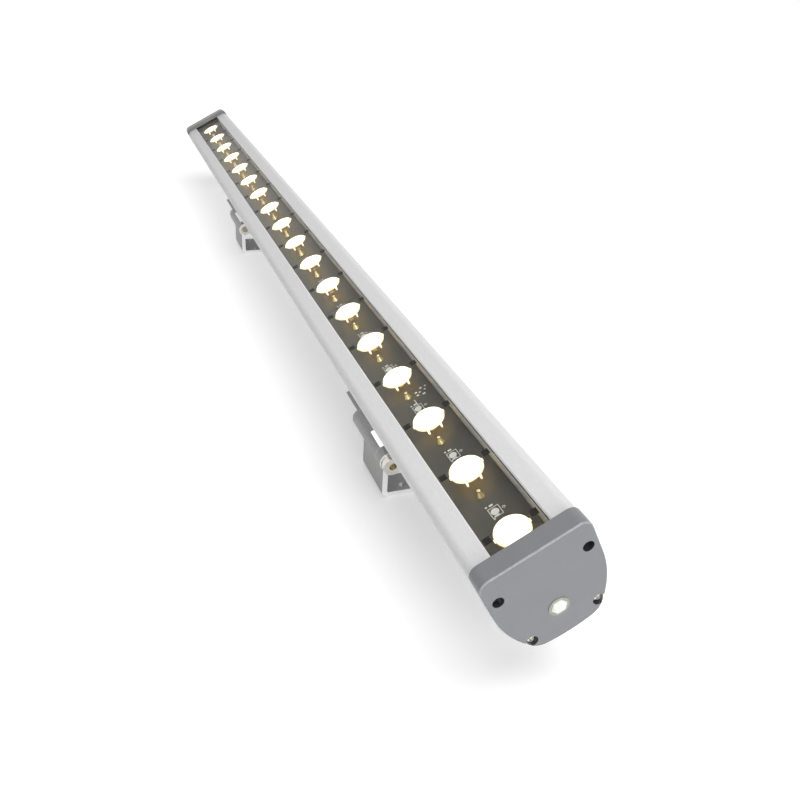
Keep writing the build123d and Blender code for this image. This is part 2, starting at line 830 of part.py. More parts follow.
def clamp(front):
    """Extruded clamp: hinge barrel, web cut on a slant at its near end, tongue in the track."""
    near = front + knuckle_length + knuckle_gap
    barrel_end = near + clamp_barrel_length
    plate_end = near + clamp_plate_length
    flank_centre = (flank_radius - half_width, flank_start)
    tongue_depth = track_head_depth - 2 * slide_clearance
    tongue_back = track_mouth_depth + slide_clearance + tongue_depth
    with BuildSketch() as plate_section:
        block(clamp_face_right, hinge_right + barrel_radius, hinge_up, clamp_top)
        with Locations(flank_centre):
            Circle(flank_radius + clamp_clearance, mode=Mode.SUBTRACT)
        with Locations(left_track):
            with Locations(((wall_thickness - tongue_back) / 2, 0)):
                Rectangle(tongue_back + wall_thickness, track_mouth_width - 2 * slide_clearance)
            with Locations((tongue_depth / 2 - tongue_back, 0)):
                Rectangle(tongue_depth, track_head_width - 2 * slide_clearance)
    with BuildPart() as piece:
        with BuildSketch(lamp_section(plate_end)):
            add(plate_section.sketch)
        extrude(amount=clamp_plate_length)
        head_room = hinge_up + bolt_head_radius + head_clearance
        with BuildSketch(lamp_section(plate_end)):
            block(hinge_right - half_width, hinge_right + barrel_radius, hinge_up - overrun, head_room)
        extrude(amount=plate_end - barrel_end, mode=Mode.SUBTRACT)
        with BuildSketch(Plane(origin=lamp_point(0, near, clamp_top), x_dir=(0, 1, 0), z_dir=lamp_right)):
            with BuildLine():
                Polyline(
                    (-overrun, overrun), (clamp_slant_length, overrun), (clamp_slant_length, 0),
                    (0, -clamp_slant_height), (-overrun, -clamp_slant_height), close=True,
                )
            make_face()
        extrude(amount=-2 * half_width, mode=Mode.SUBTRACT)
        with BuildSketch(lamp_section(barrel_end)):
            with Locations((hinge_right, hinge_up)):
                Circle(barrel_radius)
        extrude(amount=clamp_barrel_length)
        with BuildSketch(lamp_section(barrel_end)):
            with Locations((hinge_right, hinge_up)):
                Circle(knuckle_bore)
        extrude(amount=clamp_barrel_length, mode=Mode.SUBTRACT)
        with BuildSketch(hinge_section(barrel_end, -1)):
            RegularPolygon(nut_hexagon / 2 + nut_clearance, side_count=6, major_radius=False)
        extrude(amount=nut_pocket_depth, mode=Mode.SUBTRACT)
        with BuildSketch(set_screw_plane(front)):
            Circle(set_screw_radius)
        extrude(amount=track_depth + half_width, both=True, mode=Mode.SUBTRACT)
    return piece


def set_screw_plane(front):
    """Plane in the track's mouth facing out along the set screw."""
    near = front + knuckle_length + knuckle_gap
    along = near + (clamp_barrel_length + clamp_plate_length) / 2
    turn = math.radians(track_turn)
    outward = lamp_right * -math.cos(turn) - lamp_up * math.sin(turn)
    return Plane(origin=lamp_point(-track_right, along, track_up), x_dir=(0, 1, 0), z_dir=outward)


def set_screw(front):
    """Headless screw through the clamp, with its tip just off the floor of the track."""
    face_out = (clamp_face_right + track_right) / -math.cos(math.radians(track_turn))
    tip = track_depth - set_screw_tip_gap
    top = face_out - set_screw_inset - set_screw_radius * math.tan(math.radians(track_turn))
    with BuildPart() as screw:
        with BuildSketch(set_screw_plane(front).offset(-tip)):
            Circle(set_screw_radius)
        extrude(amount=tip + top)
        with BuildSketch(set_screw_plane(front).offset(top)):
            RegularPolygon(set_screw_socket / 2, side_count=6, major_radius=False)
        extrude(amount=-set_screw_socket_depth, mode=Mode.SUBTRACT)
    return screw


def hinge_bolt(seat, outward, shank):
    """Socket bolt whose head stands on its washers, outward of the barrel face it clamps."""
    with BuildPart() as bolt:
        with BuildSketch(hinge_section(seat + outward * washer_stack, outward)):
            Circle(bolt_head_radius)
        extrude(amount=bolt_head_height)
        face = bolt.faces().sort_by(Axis.Y)[-1 if outward > 0 else 0]
        fillet(face.edges(), bolt_edge_radius)
        with BuildSketch(hinge_section(seat + outward * (washer_stack + bolt_head_height), outward)):
            RegularPolygon(bolt_socket / 2, side_count=6, major_radius=False)
        extrude(amount=-bolt_socket_depth, mode=Mode.SUBTRACT)
        with BuildSketch(hinge_section(seat + outward * washer_stack, outward)):
            Circle(bolt_radius)
        extrude(amount=-washer_stack - shank)
    return bolt


def washer(seat, outward, radius, thickness, slit=0.0):
    """Flat washer, or with a slit a spring washer."""
    with BuildPart() as ring:
        with BuildSketch(hinge_section(seat, outward)):
            Circle(radius)
            Circle(bolt_radius + bolt_clearance, mode=Mode.SUBTRACT)
            if slit > 0:
                with Locations((-radius / 2, radius / 2)):
                    Rectangle(radius, slit, rotation=-lamp_lean, mode=Mode.SUBTRACT)
        extrude(amount=thickness)
    return ring


def hinge_nut(face, outward):
    """Hexagon nut at the bottom of the pocket behind a barrel face."""
    with BuildPart() as nut:
        with BuildSketch(hinge_section(face - outward * nut_pocket_depth, outward)):
            RegularPolygon(nut_hexagon / 2, side_count=6, major_radius=False)
            Circle(bolt_radius + bolt_clearance, mode=Mode.SUBTRACT)
        extrude(amount=nut_height)
    return nut


hinge_grip = knuckle_length + knuckle_gap + clamp_barrel_length
shank_length = hinge_grip - nut_clearance
for name, front, outward in (("near", near_foot_front, -1), ("far", far_foot_front, 1)):
    head_seat = front if outward < 0 else front + hinge_grip
    nut_face = front + hinge_grip if outward < 0 else front
    finish(foot(front), f"{name}_foot")
    finish(clamp(front), f"{name}_clamp")
    finish(set_screw(front), f"{name}_clamp_screw")
    finish(hinge_bolt(head_seat, outward, shank_length), f"{name}_hinge_bolt")
    finish(washer(head_seat, outward, flat_washer_radius, flat_washer_thickness), f"{name}_flat_washer")
    spring_seat = head_seat + outward * flat_washer_thickness
    spring = washer(spring_seat, outward, spring_washer_radius, spring_washer_thickness, spring_washer_slit)
    finish(spring, f"{name}_spring_washer")
    finish(hinge_nut(nut_face, -outward), f"{name}_hinge_nut")
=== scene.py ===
import json
import math

import bmesh
import bpy
from mathutils import Matrix, Vector


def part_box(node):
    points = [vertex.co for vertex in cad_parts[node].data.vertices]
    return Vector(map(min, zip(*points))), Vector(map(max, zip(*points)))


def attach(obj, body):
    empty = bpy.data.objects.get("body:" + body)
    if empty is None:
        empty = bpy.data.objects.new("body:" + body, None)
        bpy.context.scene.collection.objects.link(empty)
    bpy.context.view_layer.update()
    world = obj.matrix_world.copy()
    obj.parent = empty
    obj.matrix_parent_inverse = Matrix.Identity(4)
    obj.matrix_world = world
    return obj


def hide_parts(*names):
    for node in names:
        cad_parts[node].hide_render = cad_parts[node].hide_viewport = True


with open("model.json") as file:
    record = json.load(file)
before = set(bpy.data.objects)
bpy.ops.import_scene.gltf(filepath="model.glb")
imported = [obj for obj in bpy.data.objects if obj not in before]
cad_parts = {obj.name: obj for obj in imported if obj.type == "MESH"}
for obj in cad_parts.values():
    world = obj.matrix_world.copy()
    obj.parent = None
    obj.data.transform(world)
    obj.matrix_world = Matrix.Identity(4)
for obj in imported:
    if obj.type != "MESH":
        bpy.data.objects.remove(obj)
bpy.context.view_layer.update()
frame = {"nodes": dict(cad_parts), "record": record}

# Camera: a plain photographic lens from above the near end, looking down along the lamp. Its place
# and turn follow from the evenly spaced lenses, the cap outline and the window edges in the photo.
camera_place = (-0.21669, -0.89013, 0.401205)
camera_turn = (60.171, -3.115, -20.439)
camera_focal_mm = 36.16
sensor_mm = 36.0

camera_data = bpy.data.cameras.new("camera")
camera_data.lens = camera_focal_mm
camera_data.sensor_width = sensor_mm
camera_data.clip_start = 0.01
camera = bpy.data.objects.new("camera", camera_data)
camera.location = camera_place
camera.rotation_euler = [math.radians(angle) for angle in camera_turn]
bpy.context.scene.collection.objects.link(camera)
bpy.context.scene.camera = camera
bpy.context.scene.view_settings.view_transform = "Standard"


# Studio: a white table under a plain pale sky. A wide panel over the near end throws the pale shadow
# under the lamp, and one by the camera opens up the end cap. Both fade along the lamp.
def linear(code):
    """Linear colour of an sRGB hex code, opaque."""
    parts = [int(code[place:place + 2], 16) / 255 for place in (1, 3, 5)]
    return [part / 12.92 if part <= 0.04045 else ((part + 0.055) / 1.055) ** 2.4 for part in parts] + [1.0]


def add_node(tree, kind, inputs=None, **settings):
    """Adds a node with its settings; each input is given a value, or an output to link."""
    node = tree.nodes.new(kind)
    for name, value in settings.items():
        setattr(node, name, value)
    for name, value in (inputs or {}).items():
        if isinstance(value, bpy.types.NodeSocket):
            tree.links.new(value, node.inputs[name])
        else:
            node.inputs[name].default_value = value
    return node


def seen_directly(tree):
    """One for rays from the camera, from a reflection and through glass, and nought for the rest."""
    rays = add_node(tree, "ShaderNodeLightPath")
    seen = add_node(tree, "ShaderNodeMath", {
        0: rays.outputs["Is Camera Ray"], 1: rays.outputs["Is Glossy Ray"],
    }, operation="MAXIMUM")
    seen = add_node(tree, "ShaderNodeMath", {
        0: seen.outputs[0], 1: rays.outputs["Is Transmission Ray"],
    }, operation="MAXIMUM")
    return seen.outputs[0]


def light_panel(name, place, aim, side, power):
    """Square panel of soft light at a place, turned towards a point."""
    data = bpy.data.lights.new(name, "AREA")
    data.size = side
    data.energy = power
    panel = bpy.data.objects.new(name, data)
    panel.location = place
    panel.rotation_euler = (Vector(place) - Vector(aim)).to_track_quat("Z", "Y").to_euler()
    bpy.context.scene.collection.objects.link(panel)


sky_colour, table_colour = "#F4F4F5", "#F6F6F6"
sky_on_the_left, sky_on_the_right = 0.12, 0.38
table_size = 14.0
near_end_place = (0, -0.6, 0)
lift_starts, lift_ends = 0.25, 4.0
table_lift_near, table_lift_away = 0.32, 1.12

world = bpy.data.worlds.new("studio")
bpy.context.scene.world = world
world.use_nodes = True
sky = world.node_tree
sky.nodes.clear()
direction = add_node(sky, "ShaderNodeTexCoord").outputs["Generated"]
across = add_node(sky, "ShaderNodeSeparateXYZ", {0: direction})
strength = add_node(sky, "ShaderNodeMapRange", {
    "Value": across.outputs["X"], "From Min": -1.0, "From Max": 1.0, "To Min": sky_on_the_left,
    "To Max": sky_on_the_right,
})
soft = add_node(sky, "ShaderNodeBackground", {"Color": linear(sky_colour), "Strength": strength.outputs[0]})
white = add_node(sky, "ShaderNodeBackground", {"Color": (1, 1, 1, 1), "Strength": 1.0})
mixed = add_node(sky, "ShaderNodeMixShader", {
    0: seen_directly(sky), 1: soft.outputs[0], 2: white.outputs[0],
})
add_node(sky, "ShaderNodeOutputWorld", {"Surface": mixed.outputs[0]})

light_panel("top_panel", place=(0.15, -0.80, 2.30), aim=(0.0, -0.45, 0.0), side=2.2, power=35)
light_panel("front_panel", place=(-0.08, -1.90, 0.58), aim=(0.0, -0.55, 0.09), side=1.1, power=10.6)

paper = bpy.data.materials.new("white_table_paper")
paper.use_nodes = True
tree = paper.node_tree
tree.nodes.clear()
shaded = add_node(tree, "ShaderNodeBsdfDiffuse", {"Color": linear(table_colour)})
reach = add_node(tree, "ShaderNodeVectorMath", {
    0: add_node(tree, "ShaderNodeTexCoord").outputs["Object"], 1: near_end_place,
}, operation="DISTANCE")
level = add_node(tree, "ShaderNodeMapRange", {
    "Value": reach.outputs["Value"], "From Min": lift_starts, "From Max": lift_ends,
    "To Min": table_lift_near, "To Max": table_lift_away,
})
lift = add_node(tree, "ShaderNodeMath", {0: seen_directly(tree), 1: level.outputs[0]}, operation="MULTIPLY")
glow = add_node(tree, "ShaderNodeEmission", {"Color": (1, 1, 1, 1), "Strength": lift.outputs[0]})
both = add_node(tree, "ShaderNodeAddShader", {0: shaded.outputs[0], 1: glow.outputs[0]})
add_node(tree, "ShaderNodeOutputMaterial", {"Surface": both.outputs[0]})

table_mesh = bpy.data.meshes.new("table")
half = table_size / 2
corners = [(-half, -half, 0), (half, -half, 0), (half, half, 0), (-half, half, 0)]
table_mesh.from_pydata(corners, [], [(0, 1, 2, 3)])
table = bpy.data.objects.new("table", table_mesh)
table.data.materials.append(paper)
bpy.context.scene.collection.objects.link(table)

# Housing: one aluminium extrusion, etched satin and anodised, with a window on top, a channel for
# the glass and a T track in each flank. Its skin has a very fine grain along the length.
mm = 0.001
lean = math.radians(27.5)
lamp_turn = Matrix.Rotation(-lean, 4, "Y")
lamp_right = lamp_turn @ Vector((1, 0, 0))
lamp_up = lamp_turn @ Vector((0, 0, 1))
light_source_height = 0.8 * mm
board_top = -10.7 * mm
low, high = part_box("led_packages")
lamp_centre = (low + high) / 2 - lamp_up * (board_top + light_source_height / 2)


def lamp_point(right, along, up):
    """Place in the row frame of a point given along the lamp's own directions."""
    return lamp_centre + lamp_right * right + Vector((0, along, 0)) + lamp_up * up


def in_lamp(place):
    """Right, along and up of a place in the row frame."""
    offset = place - lamp_centre
    return Vector((offset.dot(lamp_right), offset.y, offset.dot(lamp_up)))


def new_material(name):
    """Empty node material and its tree."""
    material = bpy.data.materials.new(name)
    material.use_nodes = True
    material.node_tree.nodes.clear()
    return material, material.node_tree


def grain_pattern(tree, width_mm, detail=3.0, stretch=(1, 1, 1), roughness=0.55):
    """Cloudy grain about that many millimetres wide, drawn out along an axis whose stretch is under one."""
    place = add_node(tree, "ShaderNodeTexCoord").outputs["Object"]
    drawn = add_node(tree, "ShaderNodeMapping", {"Vector": place, "Scale": stretch})
    return add_node(tree, "ShaderNodeTexNoise", {
        "Vector": drawn.outputs[0], "Scale": 1 / (width_mm * mm), "Detail": detail, "Roughness": roughness,
    }).outputs["Fac"]


def grained_skin(tree, grain, tones, roughness, relief=None, uniform=None):
    """Whole shader of a grained surface. The grain moves its colour between two tones, and its roughness
    where that is a pair. Relief is a height, its depth in millimetres and its strength."""
    colour = add_node(tree, "ShaderNodeMix", {
        "Factor": grain, "A": linear(tones[0]), "B": linear(tones[1]),
    }, data_type="RGBA")
    inputs = {"Base Color": colour.outputs[2], "Roughness": roughness, **(uniform or {})}
    if isinstance(roughness, tuple):
        inputs["Roughness"] = add_node(tree, "ShaderNodeMapRange", {
            "Value": grain, "To Min": roughness[0], "To Max": roughness[1],
        }).outputs[0]
    if relief:
        height, depth_mm, strength = relief
        inputs["Normal"] = add_node(tree, "ShaderNodeBump", {
            "Height": height, "Strength": strength, "Distance": depth_mm * mm,
        }).outputs[0]
    shader = add_node(tree, "ShaderNodeBsdfPrincipled", inputs)
    add_node(tree, "ShaderNodeOutputMaterial", {"Surface": shader.outputs[0]})


body_of = {node: body for body, nodes in frame["record"]["behaviour"]["bodies"].items() for node in nodes}


def finished_copy(node, name, materials, turn=32, edge_mm=0.0):
    """Copy of a CAD node with its curves smooth between true edges, which may be broken a little."""
    mesh = frame["nodes"][node].data.copy()
    mesh.name = name
    shape = bmesh.new()
    shape.from_mesh(mesh)
    bmesh.ops.remove_doubles(shape, verts=shape.verts, dist=2e-6)
    bmesh.ops.dissolve_limit(shape, angle_limit=math.radians(0.2), verts=shape.verts, edges=shape.edges)
    for face in shape.faces:
        face.smooth = True
    shape.to_mesh(mesh)
    shape.free()
    mesh.set_sharp_from_angle(angle=math.radians(turn))
    mesh.materials.clear()
    for material in materials:
        mesh.materials.append(material)
    piece = bpy.data.objects.new(name, mesh)
    bpy.context.scene.collection.objects.link(piece)
    if edge_mm > 0:
        edge = piece.modifiers.new("broken_edge", "BEVEL")
        edge.width = edge_mm * mm
        edge.segments = 2
        edge.limit_method = "ANGLE"
        edge.angle_limit = math.radians(turn)
    weights = piece.modifiers.new("weights", "WEIGHTED_NORMAL")
    weights.keep_sharp = True
    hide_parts(node)
    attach(piece, body_of[node])
    return piece


def face_with(piece, index, chosen):
    """Gives one of a piece's materials to the faces whose centre and normal pass the test."""
    for face in piece.data.polygons:
        if chosen(face.center, face.normal):
            face.material_index = index


def satin_anodised_aluminium():
    """Aluminium 6063, etched satin and anodised clear: pale, silky, with a drawn grain along the bar."""
    material, tree = new_material("satin_anodised_aluminium")
    grain = grain_pattern(tree, 0.9, 4.0, (1, 0.12, 1), 0.6)
    grained_skin(tree, grain, tones=("#E4E4E5", "#F6F6F6"), roughness=(0.34, 0.5),
                 relief=(grain, 0.04, 0.3), uniform={"Metallic": 0.1, "Specular IOR Level": 0.2})
    return material


def window_wall_painted_light():
    """The same skin inside the window, cooler and a little brighter: painted light on walls that the lamps
    barely reach.
    """
    material, tree = new_material("window_wall_painted_light")
    grain = grain_pattern(tree, 1.4, 3.0, (1, 0.1, 1))
    grained_skin(tree, grain, tones=("#F1F4FA", "#FFFFFF"), roughness=0.36, relief=(grain, 0.04, 0.2))
    return material


window_half_width, window_bottom, window_top = 27, -12, 3.6


def in_the_window(centre, normal):
    """True for the walls between the boards and the glass."""
    right, along, up = in_lamp(centre) / mm
    inside = abs(right) < window_half_width and window_bottom < up < window_top
    return inside and abs(normal.dot(lamp_right)) > 0.6


anodised = satin_anodised_aluminium()
housing = finished_copy("housing_extrusion", "housing", [anodised, window_wall_painted_light()])
# The window walls take the cooler, brighter skin as painted light.
face_with(housing, 1, in_the_window)


# Circuit boards: three aluminium cored boards with a dark grey solder mask, laid on the shelf. The
# mask is half gloss, its colour carries soft clouds of painted reflection, and it carries white component
# marks.
def solder_mask_painted_reflection():
    """Sprayed and cured solder mask: half gloss, with soft clouds of painted reflection in its colour."""
    material, tree = new_material("solder_mask_painted_reflection")
    cloud = grain_pattern(tree, 26.0, 2.0)
    fine = grain_pattern(tree, 1.6, 3.0)
    # The wide cloud moves the colour between dark and lighter grey as painted reflection; it also varies the
    # roughness.
    grained_skin(tree, cloud, tones=("#33312C", "#635F56"), roughness=(0.2, 0.5),
                 relief=(fine, 0.02, 0.2), uniform={"Specular IOR Level": 0.35})
    return material


solder_mask = solder_mask_painted_reflection()
for name in ("near", "middle", "far"):
    frame["nodes"][f"{name}_led_board"].data.materials.clear()
    frame["nodes"][f"{name}_led_board"].data.materials.append(solder_mask)


def screen_printed_ink():
    """White epoxy ink pressed through a screen: matt, with thin and thick places."""
    material, tree = new_material("screen_printed_ink")
    thin = grain_pattern(tree, 1.2, 2.0)
    grained_skin(tree, thin, tones=("#EDECE8", "#FFFFFF"), roughness=0.6)
    return material


def add_slab(shape, right, along, width, length, height, turn=0.0):
    """Adds a low block to a mesh in the lamp's own directions, standing on nought."""
    place = Matrix.Translation((right * mm, along * mm, height * mm / 2)) @ Matrix.Rotation(turn, 4, "Z")
    size = Matrix.Diagonal((width * mm, length * mm, height * mm, 1))
    bmesh.ops.create_cube(shape, size=1, matrix=place @ size)


def add_round(shape, right, along, radius, height, segments=24):
    """Adds a low round pad to a mesh in the lamp's own directions."""
    place = Matrix.Translation((right * mm, along * mm, height * mm / 2))
    bmesh.ops.create_cone(shape, cap_ends=True, segments=segments, radius1=radius * mm, radius2=radius * mm,
                          depth=height * mm, matrix=place)


def unit_from(shape, name):
    """Makes a unit object of a mesh drawn in the lamp's directions, leant as the lamp is."""
    bmesh.ops.remove_doubles(shape, verts=shape.verts, dist=1e-7)
    bmesh.ops.recalc_face_normals(shape, faces=shape.faces)
    bmesh.ops.transform(shape, matrix=lamp_turn, verts=shape.verts)
    mesh = bpy.data.meshes.new(name)
    shape.to_mesh(mesh)
    shape.free()
    unit = bpy.data.objects.new(name, mesh)
    bpy.context.scene.collection.objects.link(unit)
    return unit


def build_row_tree():
    """Geometry nodes that set copies of a unit in one or more straight rows."""
    tree = bpy.data.node_groups.new("rows_of_units", "GeometryNodeTree")
    tree.is_modifier = True
    sockets = {}
    for name, kind in (("Unit", "Object"), ("Count", "Int"), ("Start", "Vector"), ("Step", "Vector"),
                       ("Rows", "Int"), ("Row Step", "Vector"), ("Material", "Material")):
        socket = tree.interface.new_socket(name, in_out="INPUT", socket_type=f"NodeSocket{kind}")
        sockets[name] = socket.identifier
    tree.interface.new_socket("Geometry", in_out="OUTPUT", socket_type="NodeSocketGeometry")
    given = add_node(tree, "NodeGroupInput").outputs
    along = add_node(tree, "GeometryNodeMeshLine", {
        "Count": given["Count"], "Start Location": given["Start"], "Offset": given["Step"],
    }, mode="OFFSET")
    across = add_node(tree, "GeometryNodeMeshLine", {
        "Count": given["Rows"], "Offset": given["Row Step"],
    }, mode="OFFSET")
    grid = add_node(tree, "GeometryNodeInstanceOnPoints", {
        "Points": along.outputs[0], "Instance": across.outputs[0],
    })
    places = add_node(tree, "GeometryNodeRealizeInstances", {"Geometry": grid.outputs[0]})
    unit = add_node(tree, "GeometryNodeObjectInfo", {"Object": given["Unit"]})
    set_down = add_node(tree, "GeometryNodeInstanceOnPoints", {
        "Points": places.outputs[0], "Instance": unit.outputs["Geometry"],
    })
    solid = add_node(tree, "GeometryNodeRealizeInstances", {"Geometry": set_down.outputs[0]})
    faced = add_node(tree, "GeometryNodeSetMaterial", {
        "Geometry": solid.outputs[0], "Material": given["Material"],
    })
    add_node(tree, "NodeGroupOutput", {"Geometry": faced.outputs[0]})
    return tree, sockets


row_tree, row_sockets = build_row_tree()


def in_rows(name, unit, material, replaced, count, start, step, rows=1, row_step=(0, 0, 0), smooth=0):
    """One plain mesh of units set out in rows on the lamp, which stands for CAD nodes."""
    carrier = bpy.data.objects.new(f"{name}_carrier", bpy.data.meshes.new(f"{name}_carrier"))
    bpy.context.scene.collection.objects.link(carrier)
    modifier = carrier.modifiers.new("rows", "NODES")
    modifier.node_group = row_tree
    for label, value in (("Unit", unit), ("Count", count), ("Start", tuple(start)), ("Step", tuple(step)),
                         ("Rows", rows), ("Row Step", tuple(row_step)), ("Material", material)):
        modifier[row_sockets[label]] = value
    shown = bpy.context.evaluated_depsgraph_get()
    mesh = bpy.data.meshes.new_from_object(
        carrier.evaluated_get(shown), preserve_all_data_layers=True, depsgraph=shown,
    )
    mesh.name = name
    if smooth:
        mesh.polygons.foreach_set("use_smooth", [True] * len(mesh.polygons))
        mesh.set_sharp_from_angle(angle=math.radians(smooth))
    carrier.modifiers.remove(modifier)
    bpy.data.objects.remove(carrier)
    bpy.data.objects.remove(unit)
    piece = bpy.data.objects.new(name, mesh)
    bpy.context.scene.collection.objects.link(piece)
    if replaced:
        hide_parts(*replaced)
    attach(piece, "lamp")
    return piece


lens_count = 18
lens_pitch = 66.5
first_lens = -lens_pitch * (lens_count - 1) / 2
ink_height = 0.05
ink = screen_printed_ink()

shape = bmesh.new()
for right, along, width, length in (
    (0, 25.3, 8.0, 0.45), (0, 33.9, 8.0, 0.45), (-3.8, 29.6, 0.45, 8.6), (3.8, 29.6, 0.45, 8.6),
    (-0.6, 26.2, 3.6, 1.0), (-0.2, 36.2, 2.8, 1.5), (-3.7, 36.4, 1.4, 1.2), (-3.3, 24.2, 1.3, 0.8),
):
    add_slab(shape, right, along, width, length, ink_height)
for right, along, width, length in ((5.6, 29.1, 0.35, 1.9), (6.7, 30.1, 0.35, 1.9)):
    add_slab(shape, right, along, width, length, ink_height, math.radians(45))
for right, along, width, length in ((5.6, 30.2, 0.35, 1.7), (6.7, 29.0, 0.35, 1.7)):
    add_slab(shape, right, along, width, length, ink_height, math.radians(-45))
add_round(shape, -0.3, 29.8, 2.9, ink_height)
in_rows("lamp_place_marks", unit_from(shape, "mark_unit"), ink, [], lens_count - 1,
        lamp_point(0, first_lens * mm, board_top), (0, lens_pitch * mm, 0))

connector_along = -385.5
shape = bmesh.new()
for right, along, width, length in (
    (11.0, 4.4, 2.0, 1.8), (5.7, 1.9, 2.0, 1.8), (5.8, -2.3, 2.0, 1.8), (10.7, -4.1, 2.4, 1.8),
    (15.0, 4.2, 1.5, 1.4), (8.6, 0.2, 1.6, 1.4), (13.2, 0.4, 1.4, 1.2), (1.3, -9.5, 0.6, 9.0),
    (1.0, -15.1, 2.0, 1.6),
):
    add_slab(shape, right, along, width, length, ink_height)
in_rows("connector_pads", unit_from(shape, "pad_unit"), ink, [], 1,
        lamp_point(0, connector_along * mm, board_top), (0, lens_pitch * mm, 0))


# Light sources: square emitters soldered in the middle of each lens place. The beam goes straight up
# into the lens, so from the side their phosphor barely glows.
def lit_phosphor():
    """Silicone filled with phosphor powder: matt yellow, glowing warm white."""
    material, tree = new_material("lit_phosphor")
    powder = grain_pattern(tree, 0.3, 2.0)
    grained_skin(tree, powder, tones=("#8A7D50", "#A39566"), roughness=0.7,
                 uniform={"Emission Color": linear("#FFE2A6"), "Emission Strength": 0.12})
    return material


frame["nodes"]["led_packages"].data.materials.clear()
frame["nodes"]["led_packages"].data.materials.append(lit_phosphor())


# Lenses: eighteen moulded acrylic cones, each with a flat top, a thin rim with two gate tabs and
# four legs glued to the board. Lit from below, the top burns out white and the rim stays warm.
def lit_acrylic():
    """Clear injection moulded acrylic full of light: white where the beam leaves, amber at its edges."""
    material, tree = new_material("lit_acrylic")
    lit = add_node(tree, "ShaderNodeAttribute", attribute_name="glow").outputs["Fac"]
    ripple = add_node(tree, "ShaderNodeMapRange", {
        "Value": grain_pattern(tree, 2.2, 2.0), "To Min": -0.22, "To Max": 0.12,
    })
    level = add_node(tree, "ShaderNodeMath", {0: ripple.outputs[0], 1: lit}, operation="ADD")
    tone = add_node(tree, "ShaderNodeValToRGB", {"Fac": level.outputs[0]})
    ramp = tone.color_ramp
    ramp.elements[0].position = 0.0
    ramp.elements[0].color = linear("#C9A868")
    ramp.elements[1].position = 1.0
    ramp.elements[1].color = linear("#FFF4DC")
    for stop, code in ((0.35, "#F0D08A"), (0.62, "#FFEBB4"), (0.8, "#FFF2CC")):
        ramp.elements.new(stop).color = linear(code)
    strength = add_node(tree, "ShaderNodeMapRange", {
        "Value": level.outputs[0], "From Min": 0.2, "From Max": 0.9, "To Min": 0.4, "To Max": 1.9,
    })
    body = add_node(tree, "ShaderNodeBsdfPrincipled", {
        "Base Color": linear("#FFF8EA"), "Roughness": 0.12, "Emission Color": tone.outputs[0],
        "Emission Strength": strength.outputs[0],
    })
    clear = add_node(tree, "ShaderNodeBsdfTransparent", {"Color": linear("#FBF6EA")})
    density = add_node(tree, "ShaderNodeMapRange", {
        "Value": lit, "From Min": 0.05, "From Max": 0.6, "To Min": 0.03, "To Max": 1.0,
    })
    mixed = add_node(tree, "ShaderNodeMixShader", {
        0: density.outputs[0], 1: clear.outputs[0], 2: body.outputs[0],
    })
    add_node(tree, "ShaderNodeOutputMaterial", {"Surface": mixed.outputs[0]})
    return material


# Points of a profile are radius, height and glow, in millimetres from the middle of the lens's top.
lens_profile = (
    (0.0, 0.0, 1.0), (6.0, 0.0, 1.0), (10.6, -0.02, 0.95), (11.5, -0.1, 0.85), (11.9, -0.25, 0.62),
    (12.15, -0.5, 0.45), (12.3, -0.8, 0.38), (12.3, -1.4, 0.35), (12.1, -1.6, 0.36), (0.0, -1.6, 0.36),
)
cone_profile = (
    (0.0, -1.65, 0.0), (11.9, -1.65, 0.0), (11.7, -2.6, 0.0), (10.2, -4.4, 0.0), (7.5, -6.8, 0.0),
    (5.2, -8.6, 0.0), (3.2, -8.6, 0.0), (3.2, -5.2, 0.0), (0.0, -5.0, 0.0),
)
lens_sides = 48
leg_right, leg_ahead, leg_radius = 5.2, 10.5, 0.72
leg_glow = ((-1.0, 0.95), (-3.6, 0.85), (-5.2, 0.3), (-6.2, 0.0), (-10.7, 0.0))
leg_sides = 10
tab_width, tab_reach, tab_height = 2.4, 0.8, 0.9
rim_radius, tab_bottom, tab_glow = 12.1, -1.5, 0.66


def lens_unit():
    """Revolved lens body with its legs and tabs, and how strongly each point glows."""
    shape = bmesh.new()
    glow_layer = shape.verts.layers.float.new("glow")
    for profile in (lens_profile, cone_profile):
        rings = []
        for radius, up, lit in profile:
            ring = []
            for side in range(1 if radius == 0 else lens_sides):
                angle = 2 * math.pi * side / lens_sides
                place = (radius * mm * math.cos(angle), radius * mm * math.sin(angle), up * mm)
                vert = shape.verts.new(place)
                vert[glow_layer] = lit
                ring.append(vert)
            rings.append(ring)
        for upper, lower in zip(rings, rings[1:]):
            for side in range(lens_sides):
                after = (side + 1) % lens_sides
                corners = [upper[side % len(upper)], lower[side % len(lower)],
                           lower[after % len(lower)], upper[after % len(upper)]]
                shape.faces.new(list(dict.fromkeys(corners)))
    for right in (-leg_right, leg_right):
        for ahead in (-leg_ahead, leg_ahead):
            rings = []
            for up, lit in leg_glow:
                ring = []
                for side in range(leg_sides):
                    angle = 2 * math.pi * side / leg_sides
                    vert = shape.verts.new(((right + leg_radius * math.cos(angle)) * mm,
                                            (ahead + leg_radius * math.sin(angle)) * mm, up * mm))
                    vert[glow_layer] = lit
                    ring.append(vert)
                rings.append(ring)
            for upper, lower in zip(rings, rings[1:]):
                for side in range(leg_sides):
                    after = (side + 1) % leg_sides
                    shape.faces.new([upper[side], lower[side], lower[after], upper[after]])
            shape.faces.new(rings[0])
            shape.faces.new(rings[-1])
    extras = len(shape.verts)
    for side in (-1, 1):
        add_slab(shape, 0, 0, tab_reach, tab_width, tab_height)
        tab = list(shape.verts)[-8:]
        tab_place = (side * (rim_radius + tab_reach / 2) * mm, 0, tab_bottom * mm)
        bmesh.ops.translate(shape, verts=tab, vec=tab_place)
    shape.verts.ensure_lookup_table()
    for vert in list(shape.verts)[extras:]:
        vert[glow_layer] = tab_glow
    return unit_from(shape, "lens_unit")


